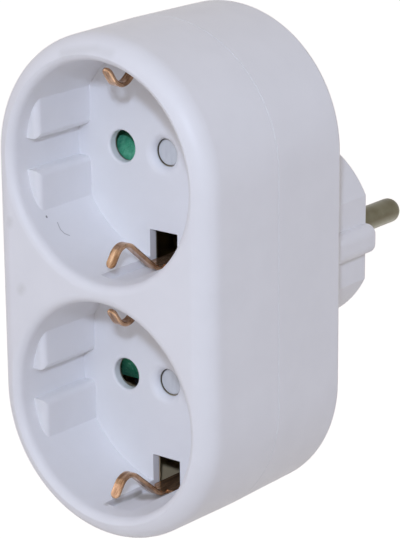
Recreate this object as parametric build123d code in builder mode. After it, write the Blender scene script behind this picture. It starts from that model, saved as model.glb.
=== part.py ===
from build123d import *
import os

# Multi socket adapter: two earthed outlets, one above the other, on one earthed plug.
# Millimetres, +Z up. The sockets face -Y and the plug points to +Y. The origin lies midway
# between the two plug pins, on the end face of the plug.

# Plug that goes into the wall
pin_diameter = 4.8
pin_length = 19.0
pin_spacing = 19.0
pin_tip_radius = 1.9
plug_diameter = 37.0
plug_length = 19.5
plug_flat_spacing = 33.2
plug_rib_spacing = 37.8
plug_rib_width = 5.6
plug_rib_round = 1.9
plug_edge_radius = 0.8
plug_wall = 2.0
plug_end_wall = 3.0
plug_hollow_radius = 4.0

# Housing of two shells that meet at a seam, laid out round the two recesses
rim_width = 4.85
socket_web = 3.7
housing_depth = 38.8
front_depth = 19.85
wall = 1.7
rear_wall = 1.5
front_edge_radius = 4.1
rear_edge_radius = 1.0
front_draft = 1.0
rear_draft = 0.6
tongue_height = 1.5
tongue_thickness = 0.8
tongue_clearance = 0.05
seam_bevel = 0.1

# Socket recess
recess_diameter = 39.8
recess_taper = 0.05
recess_depth = 18.3
recess_rim_radius = 1.75
cup_wall = 2.2
floor_thickness = 2.0
pad_height = 2.85
pad_groove_width = 5.8
pad_start = 4.2
pad_round = 1.2
pin_hole_diameter = 5.9
pin_hole_round = 0.5

# Earth strips
strip_thickness = 0.8
clip_width = 5.4
clip_finger_width = 2.0
clip_edge_bevel = 0.2
clip_corner_spacing = 25.7
clip_leg_setback = 0.65
clip_corner_depth = 6.6
clip_bend_depth = 15.6
clip_tip_depth = 3.9
clip_tip_spacing = 33.4
clip_upper_push = 0.8
clip_shoulder = 1.0
clip_crest_radius = 2.8
clip_bend_radius = 2.4
strip_bend_radius = 1.4
slot_clearance = 0.5
slot_inner_spacing = 28.7
channel_start = 4.6
channel_clearance = 0.25
plug_contact_width = 5.0
plug_contact_spacing = 32.0
plug_contact_setback = 1.2
plug_contact_tip_radius = 1.7
notch_clearance = 0.4
rivet_diameter = 2.0
rivet_head_diameter = 3.4
rivet_head_height = 0.6
rivet_leg_gap = 3.45

# Screws that hold the shells together, and the caps over them
screw_diameter = 3.0
screw_end_gap = 0.9
screw_tip_bevel = 0.75
screw_head_diameter = 4.8
screw_head_height = 2.0
screw_slot_width = 1.0
screw_slot_depth = 1.0
screw_clearance = 0.05
well_diameter = 5.2
well_round = 1.5
sleeve_diameter = 8.6
sleeve_end_wall = 2.2
cap_setback = 1.75
cap_thickness = 1.6
cap_clearance = 0.1
cap_edge_radius = 0.4
boss_diameter = 6.2
boss_shoulder_width = 1.6
boss_clearance = 0.3

# Safety shutter behind the socket floor
shutter_depth = 5.3
shutter_play = 0.4
shutter_bearing_clearance = 0.1
shutter_hub_wall = 1.6
shutter_reach = 16.0
shutter_margin = 0.3
shutter_land = 1.0
shutter_ramp_drop = 4.0
retainer_rivet_gap = 0.35
retainer_thickness = 1.2
retainer_clearance = 0.05
retainer_hole_clearance = 0.4

# Return spring of the shutter and the post that holds it
spring_wire = 0.6
spring_bend_radius = 1.2
spring_seat = 0.1
post_diameter = 3.2
post_x = -5.8
post_z = 9.3
post_gap = 0.1
spring_knee_x = 2.7
spring_knee_z = 8.2
spring_tip_reach = 10.6

# Bus bars with the sprung pin contacts
bus_thickness = 0.8
bus_front_gap = 1.0
bus_rear_gap = 0.9
contact_gap = 4.4
contact_length = 9.0
bus_tab_height = 8.0
bus_rivet_diameter = 3.2
bus_rivet_head_diameter = 4.4
bus_rivet_head_height = 0.8
bus_rivet_head_round = 0.4
pin_collar_diameter = 6.8
pin_collar_length = 2.0
pin_boss_wall = 1.6
pin_boss_length = 3.0
pin_fit_clearance = 0.05
rail_height = 3.0
rail_wall = 1.2
rail_length = 3.6
rail_clearance = 0.08

# Depths counted from the front face towards the plug
floor_back = recess_depth + floor_thickness
shutter_front = floor_back + shutter_play
retainer_front = shutter_front + shutter_depth + shutter_play
earth_front = retainer_front + retainer_thickness
plug_contact_front = earth_front + strip_thickness
rear_inside = housing_depth - rear_wall
bus_front = plug_contact_front + strip_thickness + bus_front_gap
bus_rear = rear_inside - bus_rear_gap
plug_end = housing_depth + plug_length
plug_inside = plug_end - plug_end_wall
pin_boss_front = plug_inside - pin_boss_length
cap_front = recess_depth + cap_setback
screw_seat = earth_front - sleeve_end_wall
screw_end = rear_inside - screw_end_gap
front_y = -plug_end

# Places across the adapter
housing_width = recess_diameter + 2 * rim_width
socket_pitch = recess_diameter + socket_web
recess_floor_diameter = recess_diameter - 2 * recess_taper
pad_spacing = recess_floor_diameter - 2 * pad_height
clip_leg_spacing = recess_floor_diameter + 2 * clip_leg_setback
pin_x = pin_spacing / 2
bus_x = pin_x + contact_gap / 2 + bus_thickness / 2
leaf_x = pin_x - contact_gap / 2 - bus_thickness / 2
slot_width = clip_width + 2 * slot_clearance
channel_spacing = clip_leg_spacing + strip_thickness + 2 * channel_clearance
notch_width = plug_contact_width + 2 * notch_clearance
notch_floor_spacing = plug_contact_spacing - 2 * strip_thickness
rail_z = notch_floor_spacing / 2 + rail_length / 2
rivet_setback = clip_leg_spacing / 2 - rivet_leg_gap
rivet_z = socket_pitch / 2 - rivet_setback
retainer_diameter = 2 * (rivet_setback - rivet_head_diameter / 2 - retainer_rivet_gap)
sockets = (("upper", 1), ("lower", -1))
sides = (("left", -1), ("right", 1))
match_tolerance = 0.01


def facing_front(depth, z=0.0):
    """Plane parallel to the front face: X to the right, Z up, normal towards the viewer."""
    return Plane(origin=(0, front_y + depth, z), x_dir=(1, 0, 0), z_dir=(0, -1, 0))


def lengthwise(z=0.0):
    """Upright plane through the middle of the adapter: depth from the front, then height."""
    return Plane(origin=(0, front_y, z), x_dir=(0, 1, 0), z_dir=(1, 0, 0))


def near(value, target):
    """Whether two lengths are the same, for choosing edges by their place."""
    return abs(value - target) < match_tolerance


os.makedirs("parts", exist_ok=True)
socket_spots = [(0, socket_pitch / 2), (0, -socket_pitch / 2)]
pin_spots = [(x, z) for _, z in socket_spots for x in (-pin_x, pin_x)]

# Hollow of the front shell, which follows the rounded front edge
with BuildPart() as front_hollow:
    with BuildSketch(facing_front(front_depth)):
        SlotCenterToCenter(socket_pitch, housing_width - 2 * wall, rotation=90)
    extrude(amount=front_depth - wall, taper=front_draft)
    fillet(front_hollow.faces().sort_by(Axis.Y)[0].edges(), front_edge_radius - wall)
    with BuildSketch(facing_front(front_depth)):
        SlotCenterToCenter(socket_pitch, housing_width - 2 * wall, rotation=90)
    extrude(amount=-tongue_height)

# Front shell with both socket cups, one moulding
with BuildPart() as front_shell:
    with BuildSketch(facing_front(front_depth)):
        SlotCenterToCenter(socket_pitch, housing_width, rotation=90)
    extrude(amount=front_depth, taper=front_draft)
    fillet(front_shell.faces().sort_by(Axis.Y)[0].edges(), front_edge_radius)
    chamfer(front_shell.faces().sort_by(Axis.Y)[-1].edges(), seam_bevel)
    # Tongue that enters the rear cover
    with BuildSketch(facing_front(front_depth)):
        SlotCenterToCenter(socket_pitch, housing_width - 2 * (wall - tongue_thickness), rotation=90)
    extrude(amount=-tongue_height)
    add(front_hollow.part, mode=Mode.SUBTRACT)
    # Cups and the sleeves for the screws behind their floors
    with BuildSketch(facing_front(wall / 2)):
        with Locations(*socket_spots):
            Circle(recess_diameter / 2 + cup_wall)
    extrude(amount=wall / 2 - floor_back)
    with BuildSketch(facing_front(recess_depth)):
        with Locations(*socket_spots):
            Circle(sleeve_diameter / 2)
    extrude(amount=recess_depth - earth_front)
    # Round recesses with a slight draft and a soft rim
    for _, hand in sockets:
        with BuildSketch(lengthwise(hand * socket_pitch / 2)):
            with BuildLine():
                mouth_radius = recess_diameter / 2 + recess_rim_radius
                rim = CenterArc((recess_rim_radius, mouth_radius), recess_rim_radius, 180, 90)
                Polyline(
                    rim @ 1,
                    (recess_depth, recess_floor_diameter / 2),
                    (recess_depth, 0),
                    (0, 0),
                    rim @ 0,
                )
            make_face()
        revolve(axis=Axis((0, 0, hand * socket_pitch / 2), (0, 1, 0)), mode=Mode.SUBTRACT)
    # Pairs of guide pads left and right, with a groove between them and soft edges
    with BuildSketch(facing_front(recess_depth)):
        with Locations(*socket_spots):
            Circle(recess_diameter / 2 + cup_wall / 2)
            Rectangle(pad_spacing, recess_diameter + cup_wall, mode=Mode.SUBTRACT)
            Rectangle(recess_diameter + cup_wall, pad_groove_width, mode=Mode.SUBTRACT)
    extrude(amount=recess_depth - pad_start)
    pad_corners = [
        edge
        for edge in front_shell.edges().filter_by(Axis.Y) + front_shell.edges().filter_by(Axis.Z)
        if near(abs(edge.center().X), pad_spacing / 2)
        and (
            near(edge.center().Y, front_y + pad_start)
            or near(abs(abs(edge.center().Z) - socket_pitch / 2), pad_groove_width / 2)
        )
    ]
    fillet(pad_corners, pad_round)
    # Earth slots through the floor, which run up the cup wall as channels
    with BuildSketch(facing_front(channel_start)):
        with Locations(*socket_spots):
            Rectangle(slot_width, channel_spacing)
            Circle(slot_inner_spacing / 2, mode=Mode.SUBTRACT)
    extrude(amount=channel_start - recess_depth, mode=Mode.SUBTRACT)
    with BuildSketch(facing_front(recess_depth)):
        with Locations(*socket_spots):
            Rectangle(slot_width, channel_spacing)
            Rectangle(slot_width, slot_inner_spacing, mode=Mode.SUBTRACT)
    extrude(amount=-floor_thickness, mode=Mode.SUBTRACT)
    # Pin holes, screw wells and the screws' way through
    with BuildSketch(facing_front(recess_depth)):
        with Locations(*pin_spots):
            Circle(pin_hole_diameter / 2)
    extrude(amount=-floor_thickness, mode=Mode.SUBTRACT)
    with BuildSketch(facing_front(recess_depth)):
        with Locations(*socket_spots):
            Circle(well_diameter / 2)
    extrude(amount=recess_depth - screw_seat, mode=Mode.SUBTRACT)
    with BuildSketch(facing_front(screw_seat)):
        with Locations(*socket_spots):
            Circle(screw_diameter / 2 + screw_clearance)
    extrude(amount=screw_seat - earth_front, mode=Mode.SUBTRACT)
    floor_circles = [
        edge
        for edge in front_shell.edges().filter_by(GeomType.CIRCLE)
        if near(edge.center().Y, front_y + recess_depth)
    ]
    hole_rims = [edge for edge in floor_circles if near(abs(edge.arc_center.X), pin_x)]
    well_rims = [
        edge
        for edge in floor_circles
        if near(edge.arc_center.X, 0) and near(edge.radius, well_diameter / 2)
    ]
    fillet(hole_rims, pin_hole_round)
    fillet(well_rims, well_round)
    # Round posts that the shutter springs stand against
    for _, hand in sockets:
        with BuildSketch(facing_front(floor_back, hand * socket_pitch / 2)):
            with Locations((post_x, hand * post_z)):
                Circle(post_diameter / 2)
        extrude(amount=floor_back - retainer_front)
front_shell.part.label = "front_shell"
export_step(front_shell.part, "parts/front_shell.step")

# Rear cover with the plug body, one moulding
with BuildPart() as rear_cover:
    with BuildSketch(facing_front(front_depth)):
        SlotCenterToCenter(socket_pitch, housing_width, rotation=90)
    extrude(amount=front_depth - housing_depth, taper=rear_draft)
    fillet(rear_cover.faces().sort_by(Axis.Y)[-1].edges(), rear_edge_radius)
    chamfer(rear_cover.faces().sort_by(Axis.Y)[0].edges(), seam_bevel)
    # Plug body: a round with two side flats, a soft rib on each flat and two earth notches
    with BuildSketch(facing_front(rear_inside)):
        Circle(plug_diameter / 2)
        Rectangle(plug_flat_spacing, plug_diameter, mode=Mode.INTERSECT)
        RectangleRounded(plug_rib_spacing, plug_rib_width, plug_rib_round)
    extrude(amount=rear_inside - plug_end)
    fillet(rear_cover.faces().sort_by(Axis.Y)[-1].edges(), plug_edge_radius)
    with BuildSketch(facing_front(plug_end)):
        Rectangle(notch_width, plug_diameter)
        Rectangle(notch_width, notch_floor_spacing, mode=Mode.SUBTRACT)
    extrude(amount=plug_length, mode=Mode.SUBTRACT)
    # Hollow of the skirt, with the step for the tongue of the front shell
    with BuildSketch(facing_front(front_depth)):
        SlotCenterToCenter(socket_pitch, housing_width - 2 * wall, rotation=90)
    extrude(amount=front_depth - rear_inside, taper=rear_draft, mode=Mode.SUBTRACT)
    with BuildSketch(facing_front(front_depth)):
        step_width = housing_width - 2 * (wall - tongue_thickness - tongue_clearance)
        SlotCenterToCenter(socket_pitch, step_width, rotation=90)
    extrude(amount=-tongue_height - tongue_clearance, mode=Mode.SUBTRACT)
    # Hollow of the plug and the slits that let the earth contact out into its notches
    with BuildSketch(facing_front(rear_inside)):
        hollow_width = plug_flat_spacing - 2 * plug_wall
        hollow_height = notch_floor_spacing - 2 * plug_wall
        RectangleRounded(hollow_width, hollow_height, plug_hollow_radius)
    extrude(amount=rear_inside - plug_inside, mode=Mode.SUBTRACT)
    with BuildSketch(facing_front(rear_inside)):
        Rectangle(notch_width, plug_contact_spacing + 2 * notch_clearance)
        Rectangle(notch_width, notch_floor_spacing, mode=Mode.SUBTRACT)
    extrude(amount=rear_inside - housing_depth, mode=Mode.SUBTRACT)
    # Bosses round the pins inside the plug
    with BuildSketch(facing_front(plug_inside)):
        with Locations((-pin_x, 0), (pin_x, 0)):
            Circle(pin_diameter / 2 + pin_boss_wall)
    extrude(amount=pin_boss_length)
    with BuildSketch(facing_front(pin_boss_front)):
        with Locations((-pin_x, 0), (pin_x, 0)):
            Circle(pin_diameter / 2 + pin_fit_clearance)
    extrude(amount=pin_boss_front - plug_end, mode=Mode.SUBTRACT)
    # Screw bosses: the shoulder carries the earth strip, the top meets the socket's sleeve
    with BuildSketch(facing_front(rear_inside)):
        with Locations(*socket_spots):
            Circle(boss_diameter / 2 + boss_shoulder_width)
    extrude(amount=rear_inside - plug_contact_front)
    with BuildSketch(facing_front(rear_inside)):
        with Locations(*socket_spots):
            Circle(boss_diameter / 2)
    extrude(amount=rear_inside - earth_front)
    with BuildSketch(facing_front(earth_front)):
        with Locations(*socket_spots):
            Circle(screw_diameter / 2 + screw_clearance)
    extrude(amount=earth_front - rear_inside, mode=Mode.SUBTRACT)
    # Way past the bosses for the earth contact of the plug
    with BuildSketch(facing_front(plug_contact_front)):
        Rectangle(notch_width, plug_contact_spacing + 2 * notch_clearance)
    extrude(amount=plug_contact_front - rear_inside, mode=Mode.SUBTRACT)
    # Slotted rails that the bus bars stand in
    with BuildSketch(facing_front(rear_inside)):
        with GridLocations(2 * bus_x, 2 * rail_z, 2, 2):
            Rectangle(bus_thickness + 2 * (rail_clearance + rail_wall), rail_length)
    extrude(amount=rail_height + bus_rear_gap)
    with BuildSketch(facing_front(bus_rear)):
        with GridLocations(2 * bus_x, 2 * rail_z, 2, 2):
            Rectangle(bus_thickness + 2 * rail_clearance, rail_length)
    extrude(amount=rail_height, mode=Mode.SUBTRACT)
rear_cover.part.label = "rear_cover"
export_step(rear_cover.part, "parts/rear_cover.step")

# Pieces that each socket has of its own; hand turns the lower set upside down
for name, hand in sockets:
    middle = hand * socket_pitch / 2

    # Green shutter: a hub on the sleeve and two wings whose slanted fronts the pins push aside
    with BuildPart() as shutter:
        with BuildSketch(facing_front(shutter_front, middle)):
            Circle(sleeve_diameter / 2 + shutter_bearing_clearance + shutter_hub_wall)
        extrude(amount=-shutter_depth)
        for outward in (1, -1):
            wing_plane = Plane(origin=(0, front_y, middle), x_dir=(0, 1, 0), z_dir=(outward, 0, 0))
            with BuildSketch(wing_plane):
                with BuildLine():
                    half_height = pin_hole_diameter / 2 + shutter_margin
                    shutter_rear = shutter_front + shutter_depth
                    Polyline(
                        (shutter_front, hand * half_height),
                        (shutter_front, hand * (half_height - shutter_land)),
                        (shutter_front + shutter_ramp_drop, -hand * half_height),
                        (shutter_rear, -hand * half_height),
                        (shutter_rear, hand * half_height),
                        close=True,
                    )
                make_face()
            extrude(amount=shutter_reach)
        with BuildSketch(facing_front(shutter_front, middle)):
            Circle(sleeve_diameter / 2 + shutter_bearing_clearance)
        extrude(amount=-shutter_depth, mode=Mode.SUBTRACT)
    shutter.part.label = f"shutter_{name}"
    export_step(shutter.part, f"parts/shutter_{name}.step")

    # Hairpin spring of wire: one end stands against the post, the other on the right wing
    with BuildPart() as shutter_spring:
        wire_depth = shutter_front + shutter_depth - spring_wire
        wing_top = pin_hole_diameter / 2 + shutter_margin + spring_seat + spring_wire / 2
        anchor_x = post_x + post_diameter / 2 + post_gap + spring_wire / 2
        anchor_z = post_z + post_diameter / 2
        with BuildLine(facing_front(wire_depth, middle)) as wire_path:
            FilletPolyline(
                (anchor_x, hand * anchor_z),
                (anchor_x, hand * post_z),
                (spring_knee_x, hand * spring_knee_z),
                (spring_tip_reach, hand * wing_top),
                radius=spring_bend_radius,
            )
        with BuildSketch(Plane(origin=wire_path.line @ 0, z_dir=wire_path.line % 0)):
            Circle(spring_wire / 2)
        sweep()
    shutter_spring.part.label = f"shutter_spring_{name}"
    export_step(shutter_spring.part, f"parts/shutter_spring_{name}.step")

    # Plate on the sleeve that keeps the shutter and its spring in place
    with BuildPart() as shutter_retainer:
        with BuildSketch(facing_front(retainer_front, middle)):
            Circle(retainer_diameter / 2)
            Circle(sleeve_diameter / 2 + retainer_clearance, mode=Mode.SUBTRACT)
            with Locations((-pin_x, 0), (pin_x, 0)):
                Circle(pin_hole_diameter / 2 + retainer_hole_clearance, mode=Mode.SUBTRACT)
        extrude(amount=-retainer_thickness)
    shutter_retainer.part.label = f"shutter_retainer_{name}"
    export_step(shutter_retainer.part, f"parts/shutter_retainer_{name}.step")

    # Earth clips: one strip bent round behind the socket, its ends drawn out into sprung fingers
    # that stand in the recess. Use has pushed the upper finger of each strip outwards.
    with BuildPart() as earth_clip:
        base_depth = earth_front + strip_thickness / 2
        leg_front = recess_depth - clip_shoulder
        clip_leg_z = clip_leg_spacing / 2
        with BuildSketch(lengthwise(middle)):
            with BuildLine():
                FilletPolyline(
                    (leg_front, clip_leg_z),
                    (base_depth, clip_leg_z),
                    (base_depth, -clip_leg_z),
                    (leg_front, -clip_leg_z),
                    radius=strip_bend_radius,
                )
            trace(line_width=strip_thickness)
        extrude(amount=clip_width / 2, both=True)
        fillet(earth_clip.edges().filter_by(Axis.Z).group_by(Axis.Y)[0], clip_shoulder)
        for end, push in ((1, clip_upper_push), (-1, 0)):
            with BuildLine(lengthwise(middle)) as finger_path:
                FilletPolyline(
                    (floor_back, end * clip_leg_z),
                    (clip_bend_depth, end * clip_leg_z),
                    (clip_corner_depth, end * (clip_corner_spacing / 2 + push)),
                    (clip_tip_depth, end * (clip_tip_spacing / 2 + push)),
                    radius=(clip_bend_radius, clip_crest_radius),
                )
            root = Plane(finger_path.line @ 0, x_dir=(1, 0, 0), z_dir=finger_path.line % 0)
            with BuildSketch(root) as section:
                Rectangle(clip_finger_width, strip_thickness)
                chamfer(section.vertices(), clip_edge_bevel)
            sweep()
            # Half of the section turned about its middle gives the round tip
            tip = Plane(finger_path.line @ 1, x_dir=(1, 0, 0), z_dir=finger_path.line % 1)
            with BuildSketch(tip) as half_section:
                Rectangle(clip_finger_width, strip_thickness)
                chamfer(half_section.vertices(), clip_edge_bevel)
                with Locations((clip_finger_width / 2, 0)):
                    Rectangle(clip_finger_width, strip_thickness, mode=Mode.SUBTRACT)
            revolve(axis=Axis(tip.origin, tip.y_dir), revolution_arc=180)
        # Ring that sits on the shoulder of the screw boss
        with BuildSketch(facing_front(earth_front, middle)):
            Circle(boss_diameter / 2 + boss_shoulder_width)
        extrude(amount=-strip_thickness)
        with BuildSketch(facing_front(earth_front, middle)):
            Circle(boss_diameter / 2 + boss_clearance)
            with Locations((0, -hand * rivet_setback)):
                Circle(rivet_diameter / 2)
        extrude(amount=-strip_thickness, mode=Mode.SUBTRACT)
    earth_clip.part.label = f"earth_clip_{name}"
    export_step(earth_clip.part, f"parts/earth_clip_{name}.step")

    # Plain cap that hides the screw in its well
    with BuildPart() as screw_cap:
        with BuildSketch(facing_front(cap_front, middle)):
            Circle(well_diameter / 2 - cap_clearance)
        extrude(amount=-cap_thickness)
        fillet(screw_cap.edges().group_by(Axis.Y)[0], cap_edge_radius)
    screw_cap.part.label = f"screw_cap_{name}"
    export_step(screw_cap.part, f"parts/screw_cap_{name}.step")

# Two flat-topped screws that draw the shells together
with BuildPart() as housing_screws:
    with BuildSketch(facing_front(screw_seat)):
        with Locations(*socket_spots):
            Circle(screw_head_diameter / 2)
    extrude(amount=screw_head_height)
    with BuildSketch(facing_front(screw_seat - screw_head_height)):
        with Locations(*socket_spots):
            Rectangle(screw_head_diameter, screw_slot_width)
    extrude(amount=-screw_slot_depth, mode=Mode.SUBTRACT)
    with BuildSketch(facing_front(screw_seat)):
        with Locations(*socket_spots):
            Circle(screw_diameter / 2)
    extrude(amount=screw_seat - screw_end)
    chamfer(housing_screws.edges().group_by(Axis.Y)[-1], screw_tip_bevel)
housing_screws.part.label = "housing_screws"
export_step(housing_screws.part, "parts/housing_screws.step")

# Earth contact of the plug: a strip on the clip strips, its legs laid in the plug's notches
with BuildPart() as plug_earth_contact:
    with BuildSketch(lengthwise()):
        with BuildLine():
            contact_depth = plug_contact_front + strip_thickness / 2
            leg_z = (plug_contact_spacing - strip_thickness) / 2
            leg_end = plug_end - plug_contact_setback
            FilletPolyline(
                (leg_end, leg_z),
                (contact_depth, leg_z),
                (contact_depth, -leg_z),
                (leg_end, -leg_z),
                radius=strip_bend_radius,
            )
        trace(line_width=strip_thickness)
    extrude(amount=plug_contact_width / 2, both=True)
    tips = plug_earth_contact.faces().sort_by(Axis.Y)[-2:]
    tip_corners = [edge for face in tips for edge in face.edges().filter_by(Axis.Z)]
    fillet(tip_corners, plug_contact_tip_radius)
    with BuildSketch(facing_front(plug_contact_front)):
        with Locations((0, rivet_z), (0, -rivet_z)):
            Circle(rivet_diameter / 2)
    extrude(amount=-strip_thickness, mode=Mode.SUBTRACT)
plug_earth_contact.part.label = "plug_earth_contact"
export_step(plug_earth_contact.part, "parts/plug_earth_contact.step")

# Two rivets that join the earth strips
with BuildPart() as earth_rivets:
    rivet_spots = [(0, rivet_z), (0, -rivet_z)]
    with BuildSketch(facing_front(earth_front - rivet_head_height)):
        with Locations(*rivet_spots):
            Circle(rivet_head_diameter / 2)
    extrude(amount=-rivet_head_height)
    with BuildSketch(facing_front(earth_front)):
        with Locations(*rivet_spots):
            Circle(rivet_diameter / 2)
    extrude(amount=-2 * strip_thickness)
    with BuildSketch(facing_front(plug_contact_front + strip_thickness)):
        with Locations(*rivet_spots):
            Circle(rivet_head_diameter / 2)
    extrude(amount=-rivet_head_height)
earth_rivets.part.label = "earth_rivets"
export_step(earth_rivets.part, "parts/earth_rivets.step")

# Current path of each side: a folded bus bar and the plug pin peened to its tab
for name, side in sides:
    # Bus bar folded to a sprung contact behind each pin hole
    with BuildPart() as bus_bar:
        with BuildSketch(facing_front(bus_front)):
            with BuildLine():
                fold_z = (socket_pitch + contact_length) / 2
                leaf_end_z = (socket_pitch - contact_length) / 2
                fold_top = fold_z + (bus_x - leaf_x) / 2
                Line((side * leaf_x, leaf_end_z), (side * leaf_x, fold_z))
                ThreePointArc((side * leaf_x, fold_z), (side * pin_x, fold_top), (side * bus_x, fold_z))
                Line((side * bus_x, fold_z), (side * bus_x, -fold_z))
                ThreePointArc((side * bus_x, -fold_z), (side * pin_x, -fold_top), (side * leaf_x, -fold_z))
                Line((side * leaf_x, -fold_z), (side * leaf_x, -leaf_end_z))
            trace(line_width=bus_thickness)
        extrude(amount=bus_front - bus_rear)
        with BuildSketch(facing_front(bus_rear)):
            with Locations((side * pin_x, 0)):
                Rectangle(bus_x - leaf_x + bus_thickness, bus_tab_height)
                Circle(bus_rivet_diameter / 2, mode=Mode.SUBTRACT)
        extrude(amount=bus_thickness)
    bus_bar.part.label = f"bus_bar_{name}"
    export_step(bus_bar.part, f"parts/bus_bar_{name}.step")

    # Turned plug pin with a collar on the boss inside the plug and a peened inner end
    with BuildPart() as plug_pin:
        with BuildSketch(facing_front(bus_rear)):
            with Locations((side * pin_x, 0)):
                Circle(pin_diameter / 2)
        extrude(amount=bus_rear - plug_end - pin_length)
        fillet(plug_pin.edges().group_by(Axis.Y)[-1], pin_tip_radius)
        with BuildSketch(facing_front(pin_boss_front)):
            with Locations((side * pin_x, 0)):
                Circle(pin_collar_diameter / 2)
        extrude(amount=pin_collar_length)
        with BuildSketch(facing_front(bus_rear)):
            with Locations((side * pin_x, 0)):
                Circle(bus_rivet_diameter / 2)
        extrude(amount=bus_thickness)
        with BuildSketch(facing_front(bus_rear - bus_thickness)):
            with Locations((side * pin_x, 0)):
                Circle(bus_rivet_head_diameter / 2)
        extrude(amount=bus_rivet_head_height)
        fillet(plug_pin.edges().group_by(Axis.Y)[0], bus_rivet_head_round)
    plug_pin.part.label = f"plug_pin_{name}"
    export_step(plug_pin.part, f"parts/plug_pin_{name}.step")
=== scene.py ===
import bpy
import math
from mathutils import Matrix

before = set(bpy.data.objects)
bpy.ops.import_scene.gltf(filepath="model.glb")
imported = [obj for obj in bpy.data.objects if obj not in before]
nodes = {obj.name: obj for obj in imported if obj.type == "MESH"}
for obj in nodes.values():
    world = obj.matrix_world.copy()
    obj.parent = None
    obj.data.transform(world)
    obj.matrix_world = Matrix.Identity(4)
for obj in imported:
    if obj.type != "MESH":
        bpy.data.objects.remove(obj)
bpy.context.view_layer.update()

# Rear cover: the back half of the housing with the plug body, moulded in one piece
# from white plastic with a satin skin. It carries every piece inside. Its inner walls are
# painted tan, dark brown near the contacts, as painted shade and painted bronze reflection.

mm = 0.001
mottle_band = (0.35, 0.65)
gloss_band = (0.3, 0.7)
skin_depth = 0.03 * mm
white_dark = (0.82, 0.82, 0.835)
white_light = (0.84, 0.84, 0.855)
white_roughness = (0.46, 0.56)
white_cloud_scale = 140
white_gloss_scale = 320
white_skin_scale = 5200
white_skin_strength = 0.06
smudge_patch_scale = 120
smudge_patch_band = (0.3, 0.6)
smudge_thinnest = 0.4
seam_depth = -38.45
seam_half_width = 0.1
seam_fade = 0.06
seam_dust_share = 0.15
seam_dust_grey = (0.36, 0.35, 0.33)
socket_height = 21.75
contact_x = -9.5
# Painted shade and painted bronze reflection inside the housing: tan walls, dark brown near the contacts.
contact_shade_radius = 8
contact_shade_fade = 3
inner_radius = 23.3
inner_fade = 0.3
inner_front = (-38.4, -38.2)
inner_back = (-20.7, -20.5)
inner_shade_tan = (0.64, 0.51, 0.31)
contact_shade_brown = (0.12, 0.10, 0.065)
flat_in_depth = (1, 0, 1)


def new_material(name):
    """Empty node material with its shader and its object coordinates."""
    material = bpy.data.materials.new(name)
    material.use_nodes = True
    tree = material.node_tree
    shader = tree.nodes["Principled BSDF"]
    place = tree.nodes.new("ShaderNodeTexCoord")
    return material, tree, shader, place.outputs["Object"]


def stretched(tree, place, scale):
    """Object coordinates scaled on each axis, for patterns drawn out in one direction."""
    node = tree.nodes.new("ShaderNodeMapping")
    node.inputs["Scale"].default_value = scale
    tree.links.new(place, node.inputs["Vector"])
    return node.outputs["Vector"]


def noise(tree, place, scale, detail=3.0, roughness=0.5):
    """Noise field over the object, features about 1/scale metres wide."""
    node = tree.nodes.new("ShaderNodeTexNoise")
    node.inputs["Scale"].default_value = scale
    node.inputs["Detail"].default_value = detail
    node.inputs["Roughness"].default_value = roughness
    tree.links.new(place, node.inputs["Vector"])
    return node.outputs["Fac"]


def spread(tree, value, from_low, from_high, to_low, to_high):
    """Value stretched from one span to another, held at its ends."""
    node = tree.nodes.new("ShaderNodeMapRange")
    node.inputs["From Min"].default_value = from_low
    node.inputs["From Max"].default_value = from_high
    node.inputs["To Min"].default_value = to_low
    node.inputs["To Max"].default_value = to_high
    tree.links.new(value, node.inputs["Value"])
    return node.outputs["Result"]


def combine(tree, operation, first, second):
    """One number made of two that vary over the surface."""
    node = tree.nodes.new("ShaderNodeMath")
    node.operation = operation
    tree.links.new(first, node.inputs[0])
    tree.links.new(second, node.inputs[1])
    return node.outputs["Value"]


def tint(tree, share, first, second):
    """Colour between two, by a share that varies over the surface."""
    node = tree.nodes.new("ShaderNodeMix")
    node.data_type = "RGBA"
    for socket, colour in (("A", first), ("B", second)):
        if isinstance(colour, tuple):
            node.inputs[socket].default_value = (*colour, 1)
        else:
            tree.links.new(colour, node.inputs[socket])
    tree.links.new(share, node.inputs["Factor"])
    return node.outputs["Result"]


def grain(tree, shader, height, strength):
    """Fine relief of the skin."""
    node = tree.nodes.new("ShaderNodeBump")
    node.inputs["Strength"].default_value = strength
    node.inputs["Distance"].default_value = skin_depth
    tree.links.new(height, node.inputs["Height"])
    tree.links.new(node.outputs["Normal"], shader.inputs["Normal"])


def vector_step(tree, operation, vector, constant):
    """Vector node with one running and one fixed operand."""
    node = tree.nodes.new("ShaderNodeVectorMath")
    node.operation = operation
    tree.links.new(vector, node.inputs[0])
    node.inputs[1].default_value = constant
    return node


def trail(tree, place, points, core, fade):
    """1 along a line through points in millimetres, falling to 0 over the fade beside it."""
    nearest = None
    for start, end in zip(points, points[1:]):
        run = [(b - a) * mm for a, b in zip(start, end)]
        length_squared = sum(step * step for step in run)
        from_start = vector_step(tree, "SUBTRACT", place, [a * mm for a in start]).outputs["Vector"]
        along = vector_step(tree, "DOT_PRODUCT", from_start, [step / length_squared for step in run])
        foot = tree.nodes.new("ShaderNodeVectorMath")
        foot.operation = "SCALE"
        foot.inputs[0].default_value = run
        tree.links.new(spread(tree, along.outputs["Value"], 0, 1, 0, 1), foot.inputs["Scale"])
        gap = tree.nodes.new("ShaderNodeVectorMath")
        gap.operation = "DISTANCE"
        tree.links.new(from_start, gap.inputs[0])
        tree.links.new(foot.outputs["Vector"], gap.inputs[1])
        distance = gap.outputs["Value"]
        nearest = distance if nearest is None else combine(tree, "MINIMUM", nearest, distance)
    return spread(tree, nearest, core * mm, (core + fade) * mm, 1, 0)


def axis_of(tree, place, axis):
    """One object coordinate, in metres."""
    node = tree.nodes.new("ShaderNodeSeparateXYZ")
    tree.links.new(place, node.inputs["Vector"])
    return node.outputs[axis]


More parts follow.
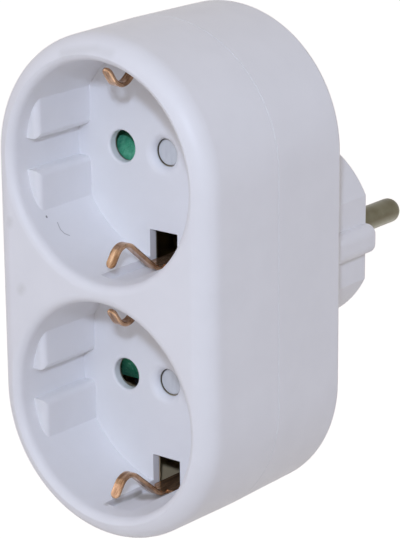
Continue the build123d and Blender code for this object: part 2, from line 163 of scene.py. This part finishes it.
def seam_share(tree, depth):
    """Share of dust along the seam between the two shells."""
    seam_front = seam_depth - seam_half_width
    seam_back = seam_depth + seam_half_width
    before = spread(tree, depth, (seam_front - seam_fade) * mm, seam_front * mm, 0, seam_dust_share)
    behind = spread(tree, depth, seam_back * mm, (seam_back + seam_fade) * mm, seam_dust_share, 0)
    return combine(tree, "MINIMUM", before, behind)


def inside_share(tree, flat_place, depth):
    """1 inside the housing, 0 on its outside and in the socket recesses."""
    middle_line = ((0, 0, socket_height), (0, 0, -socket_height))
    within_walls = trail(tree, flat_place, middle_line, inner_radius, inner_fade)
    before_back = spread(tree, depth, inner_back[0] * mm, inner_back[1] * mm, 1, 0)
    behind_floor = spread(tree, depth, inner_front[0] * mm, inner_front[1] * mm, 0, 1)
    return combine(tree, "MULTIPLY", within_walls, combine(tree, "MINIMUM", before_back, behind_floor))


def white_moulding(name, smudges=(), specks=()):
    """Satin white plastic, cloudy and fine-skinned, with patchy smudges, sharp specks and seam dust, its
    inside painted tan and brown as painted shade and painted bronze reflection.
    """
    material, tree, shader, place = new_material(name)
    cloud = spread(tree, noise(tree, place, white_cloud_scale, 4), *mottle_band, 0, 1)
    colour = tint(tree, cloud, white_dark, white_light)
    patch_field = noise(tree, place, smudge_patch_scale, 2)
    patches = spread(tree, patch_field, *smudge_patch_band, smudge_thinnest, 1)
    for points, core, fade, strength, stain in smudges:
        share = spread(tree, trail(tree, place, points, core, fade), 0, 1, 0, strength)
        colour = tint(tree, combine(tree, "MULTIPLY", share, patches), colour, stain)
    for points, core, fade, strength, stain in specks:
        share = spread(tree, trail(tree, place, points, core, fade), 0, 1, 0, strength)
        colour = tint(tree, share, colour, stain)
    depth = axis_of(tree, place, "Y")
    colour = tint(tree, seam_share(tree, depth), colour, seam_dust_grey)
    flat_place = stretched(tree, place, flat_in_depth)
    # Painted shade and painted bronze reflection: the inside of the housing is painted tan, turning dark
    # brown near the contacts.
    contact_line = ((contact_x, 0, socket_height), (contact_x, 0, -socket_height))
    near_contacts = trail(tree, flat_place, contact_line, contact_shade_radius, contact_shade_fade)
    inner_painted_shade = tint(tree, near_contacts, inner_shade_tan, contact_shade_brown)
    colour = tint(tree, inside_share(tree, flat_place, depth), colour, inner_painted_shade)
    tree.links.new(colour, shader.inputs["Base Color"])
    gloss = spread(tree, noise(tree, place, white_gloss_scale, 3), *gloss_band, *white_roughness)
    tree.links.new(gloss, shader.inputs["Roughness"])
    grain(tree, shader, noise(tree, place, white_skin_scale, 2), white_skin_strength)
    return material


nodes["rear_cover"].material_slots[0].material = white_moulding("rear_cover_plastic")

# Plug pins: two turned brass pins with a dull nickel skin, peened to the bus bars
# and held in the end wall of the plug. Their lower half is painted light as a painted reflection of the
# white surroundings below, their upper half darker.

pin_dark = (0.115, 0.10, 0.063)
pin_light = (0.24, 0.23, 0.17)
pin_reflection_edge = (-1.2, 0.4)
upper_light_spots = 0.35
metal_gloss_range = 0.06
metal_skin_strength = 0.04


def worn_metal(name, dark, light, scale, roughness, edge=None, draw=(1, 1, 1), bareness=1.0):
    """Metal with tarnish in patches or drawn lines. With an edge, the metal below those heights is
    painted light as a painted reflection, and the tarnish lies mostly above.
    """
    material, tree, shader, place = new_material(name)
    field = noise(tree, stretched(tree, place, draw), scale, 5, 0.6)
    patch = spread(tree, field, *mottle_band, 0, 1)
    if edge:
        edge_low, edge_high = edge
        # Painted reflection: the metal below the edge heights is painted light.
        lower_reflection = spread(tree, axis_of(tree, place, "Z"), edge_low * mm, edge_high * mm, 1, 0)
        patch = combine(tree, "MAXIMUM", lower_reflection, spread(tree, patch, 0, 1, 0, upper_light_spots))
    tree.links.new(tint(tree, patch, dark, light), shader.inputs["Base Color"])
    shader.inputs["Metallic"].default_value = bareness
    smoothest = roughness - metal_gloss_range
    dullest = roughness + metal_gloss_range
    rough = spread(tree, noise(tree, place, scale * 4, 3), *gloss_band, smoothest, dullest)
    tree.links.new(rough, shader.inputs["Roughness"])
    grain(tree, shader, noise(tree, place, scale * 12, 2), metal_skin_strength)
    return material


pin_metal = worn_metal(
    "plug_pin_nickel", pin_dark, pin_light, scale=260, roughness=0.36, edge=pin_reflection_edge
)
for side in ("left", "right"):
    nodes[f"plug_pin_{side}"].material_slots[0].material = pin_metal

# Bus bars: brass strips folded to a sprung contact behind each pin hole,
# standing in slotted rails of the rear cover. Their brass is coloured dark as painted shade.

# Painted shade: the brass is coloured dark to stand in for the shade in the slots.
brass_dark = (0.15, 0.105, 0.04)
brass_light = (0.26, 0.19, 0.08)
bar_brass = worn_metal("bus_bar_shaded_brass", brass_dark, brass_light, scale=300, roughness=0.42)
for side in ("left", "right"):
    nodes[f"bus_bar_{side}"].material_slots[0].material = bar_brass

# Earth strips: bronze stamped and bent in one piece for each socket, a third strip for
# the plug, and two rivets that join them. Their tarnish lies in lines along the strips.

bronze_dark = (0.28, 0.145, 0.068)
bronze_light = (0.78, 0.50, 0.31)
bronze_lines = (1.4, 0.3, 0.3)
strip_bronze = worn_metal(
    "earth_strip_bronze", bronze_dark, bronze_light,
    scale=900, roughness=0.18, draw=bronze_lines, bareness=0.8,
)
for piece in ("earth_clip_upper", "earth_clip_lower", "plug_earth_contact", "earth_rivets"):
    nodes[piece].material_slots[0].material = strip_bronze

# Safety shutters: green mouldings that turn on the sleeve behind each socket floor,
# each with a return spring of steel wire and a plate that keeps it in place. The plates are coloured near
# black as painted shade behind the pin holes.

green_dark = (0.045, 0.31, 0.175)
green_light = (0.12, 0.48, 0.29)
# Painted shade: the retainer plates are near black.
black_dark = (0.012, 0.012, 0.011)
black_light = (0.020, 0.020, 0.018)
wire_dark = (0.42, 0.42, 0.42)
wire_light = (0.55, 0.55, 0.54)
flow_direction = (1.0, 1.0, 0.25)
flow_scale = 1100
dull_gloss_scale = 900
dull_gloss_range = 0.05
dull_skin_scale = 4200
dull_skin_strength = 0.08


def dull_plastic(name, dark, light, roughness):
    """Plain moulded plastic with flow streaks and a slight cloudiness."""
    material, tree, shader, place = new_material(name)
    flow = noise(tree, stretched(tree, place, flow_direction), flow_scale, 4, 0.6)
    streaks = spread(tree, flow, *mottle_band, 0, 1)
    tree.links.new(tint(tree, streaks, dark, light), shader.inputs["Base Color"])
    smoothest = roughness - dull_gloss_range
    dullest = roughness + dull_gloss_range
    rough = spread(tree, noise(tree, place, dull_gloss_scale, 2), *gloss_band, smoothest, dullest)
    tree.links.new(rough, shader.inputs["Roughness"])
    grain(tree, shader, noise(tree, place, dull_skin_scale, 2), dull_skin_strength)
    return material


shutter_green = dull_plastic("shutter_green", green_dark, green_light, roughness=0.25)
plate_shade_black = dull_plastic("retainer_shade_black", black_dark, black_light, roughness=0.5)
spring_wire = worn_metal("spring_wire", wire_dark, wire_light, scale=500, roughness=0.28)
for level in ("upper", "lower"):
    nodes[f"shutter_{level}"].material_slots[0].material = shutter_green
    nodes[f"shutter_retainer_{level}"].material_slots[0].material = plate_shade_black
    nodes[f"shutter_spring_{level}"].material_slots[0].material = spring_wire

# Front shell: the front half of the housing with both socket cups, one moulding of the
# same white plastic, held to the rear cover by a tongue and two screws. Use has left a
# smudge, two rubbed places, a speck and a hair. Painted shade and dirt darken the lower clip channel's
# edge and the floor under the lower earth strip.

grey_smudge = (0.42, 0.41, 0.36)
channel_shade_and_dirt = (0.27, 0.24, 0.19)
dark_speck = (0.06, 0.055, 0.05)
ring_smudge_line = (
    (-7.0, -58.07, 42.3), (-3.35, -58.04, 43.29), (0.37, -57.88, 43.92), (3.7, -57.86, 43.66)
)
lower_rub_line = ((-18.37, -58.3, -2.56), (-18.0, -58.3, -2.0))
upper_rub_line = ((-20.56, -58.3, 9.4), (-20.4, -58.3, 10.2))
# Painted shade and dirt along the lower clip channel's edge and under the lower earth strip.
channel_edge_shade_line = ((-2.65, -54.04, -41.5), (-3.2, -51.7, -42.2), (-3.2, -43.8, -42.6))
under_clip_shade_line = ((-1.8, -44.6, -42.9), (1.2, -41.2, -42.9))
speck_line = ((-16.32, -53.09, 10.43), (-16.25, -53.1, 10.35))
hair_line = (
    (-15.3, -51.34, 9.08), (-14.35, -51.63, 8.01), (-13.66, -51.36, 7.32), (-13.15, -50.59, 6.85)
)
# Each mark: its line, half width and fade in millimetres, strength and colour
front_smudges = (
    (ring_smudge_line, 0.2, 1.1, 0.22, grey_smudge),
    (lower_rub_line, 0.1, 1.2, 0.25, grey_smudge),
    (upper_rub_line, 0.1, 1.0, 0.25, grey_smudge),
    (channel_edge_shade_line, 0.2, 0.5, 0.6, channel_shade_and_dirt),
    (under_clip_shade_line, 0.7, 1.4, 0.7, channel_shade_and_dirt),
)
front_specks = (
    (speck_line, 0.12, 0.14, 0.8, dark_speck),
    (hair_line, 0.03, 0.12, 0.5, dark_speck),
)
shell_plastic = white_moulding("front_shell_plastic", front_smudges, front_specks)
nodes["front_shell"].material_slots[0].material = shell_plastic

# Housing screws and their caps: two zinc plated screws draw the front shell to the bosses
# of the rear cover, and a grey plastic cap is pressed into the well above each one.

zinc_dark = (0.45, 0.45, 0.44)
zinc_light = (0.58, 0.58, 0.57)
cap_dark = (0.56, 0.575, 0.60)
cap_light = (0.62, 0.635, 0.655)
screw_zinc = worn_metal("screw_zinc", zinc_dark, zinc_light, scale=380, roughness=0.35)
nodes["housing_screws"].material_slots[0].material = screw_zinc
cap_grey = dull_plastic("screw_cap_grey", cap_dark, cap_light, roughness=0.45)
for level in ("upper", "lower"):
    nodes[f"screw_cap_{level}"].material_slots[0].material = cap_grey

# Stage: a pale floor far below the part, even light from all round, three wide soft lamps
# and a small one above the camera. Floor and backdrop are white to the eye and in
# reflections.

floor_size = 12
floor_height = -0.5
floor_dark = (0.89, 0.89, 0.89)
floor_light = (0.91, 0.91, 0.91)
floor_cloud_scale = 2
floor_roughness = 0.9
floor_glow = 0.68
sky_colour = (1.0, 0.90, 0.88, 1)
sky_strength = 0.37
plain_white = (1, 1, 1, 1)


def seen_directly(tree):
    """1 for rays from the camera, from gloss and through clear matter, 0 for the rest."""
    path = tree.nodes.new("ShaderNodeLightPath")
    bounced = combine(tree, "MAXIMUM", path.outputs["Is Glossy Ray"], path.outputs["Is Transmission Ray"])
    return combine(tree, "MAXIMUM", path.outputs["Is Camera Ray"], bounced)


bpy.ops.object.select_all(action="DESELECT")
bpy.ops.mesh.primitive_plane_add(size=floor_size, location=(0, 0, floor_height))
floor = bpy.context.object
floor.name = "floor"
floor_material, tree, shader, place = new_material("floor_white")
floor_cloud = tint(tree, noise(tree, place, floor_cloud_scale), floor_dark, floor_light)
tree.links.new(floor_cloud, shader.inputs["Base Color"])
shader.inputs["Roughness"].default_value = floor_roughness
shader.inputs["Emission Color"].default_value = plain_white
glow = spread(tree, seen_directly(tree), 0, 1, 0, floor_glow)
tree.links.new(glow, shader.inputs["Emission Strength"])
floor.data.materials.append(floor_material)

world = bpy.data.worlds.new("studio")
bpy.context.scene.world = world
world.use_nodes = True
tree = world.node_tree
sky = tree.nodes["Background"]
sky.inputs["Color"].default_value = sky_colour
sky.inputs["Strength"].default_value = sky_strength
backdrop = tree.nodes.new("ShaderNodeBackground")
backdrop.inputs["Color"].default_value = plain_white
blend = tree.nodes.new("ShaderNodeMixShader")
tree.links.new(seen_directly(tree), blend.inputs["Fac"])
tree.links.new(sky.outputs["Background"], blend.inputs[1])
tree.links.new(backdrop.outputs["Background"], blend.inputs[2])
tree.links.new(blend.outputs["Shader"], tree.nodes["World Output"].inputs["Surface"])

# Each lamp: name, shape, width and place in metres, power in watts, colour
lamps = (
    ("key_light", "DISK", 0.04, (0.363, -0.522, 0.291), 1.95, (0.67, 0.77, 1.0)),
    ("front_light", "SQUARE", 0.5, (0.1, -1.0, 0.6), 1.2, (0.88, 0.98, 1.0)),
    ("left_light", "SQUARE", 0.6, (-0.8, -0.7, 0.3), 1.3, (0.79, 0.79, 1.0)),
    ("back_light", "SQUARE", 0.6, (0.9, 0.5, 0.4), 1.0, (0.68, 0.81, 1.0)),
)
for name, shape, width, spot, power, colour in lamps:
    bpy.ops.object.light_add(type="AREA", location=spot)
    lamp = bpy.context.object
    lamp.name = name
    lamp.data.shape = shape
    lamp.data.size = width
    lamp.data.energy = power
    lamp.data.color = colour
    lamp.rotation_euler = lamp.location.to_track_quat("Z", "Y").to_euler()

camera_place = (0.275329, -0.371641, 0.134177)
camera_turn = (72.7362, 0.4758, 38.6879)
camera_lens = 167.109
camera_near = 0.01
bpy.ops.object.camera_add(location=camera_place)
camera = bpy.context.object
camera.rotation_euler = [math.radians(angle) for angle in camera_turn]
camera.data.lens = camera_lens
camera.data.clip_start = camera_near
bpy.context.scene.camera = camera

bpy.context.scene.view_settings.view_transform = "Standard"
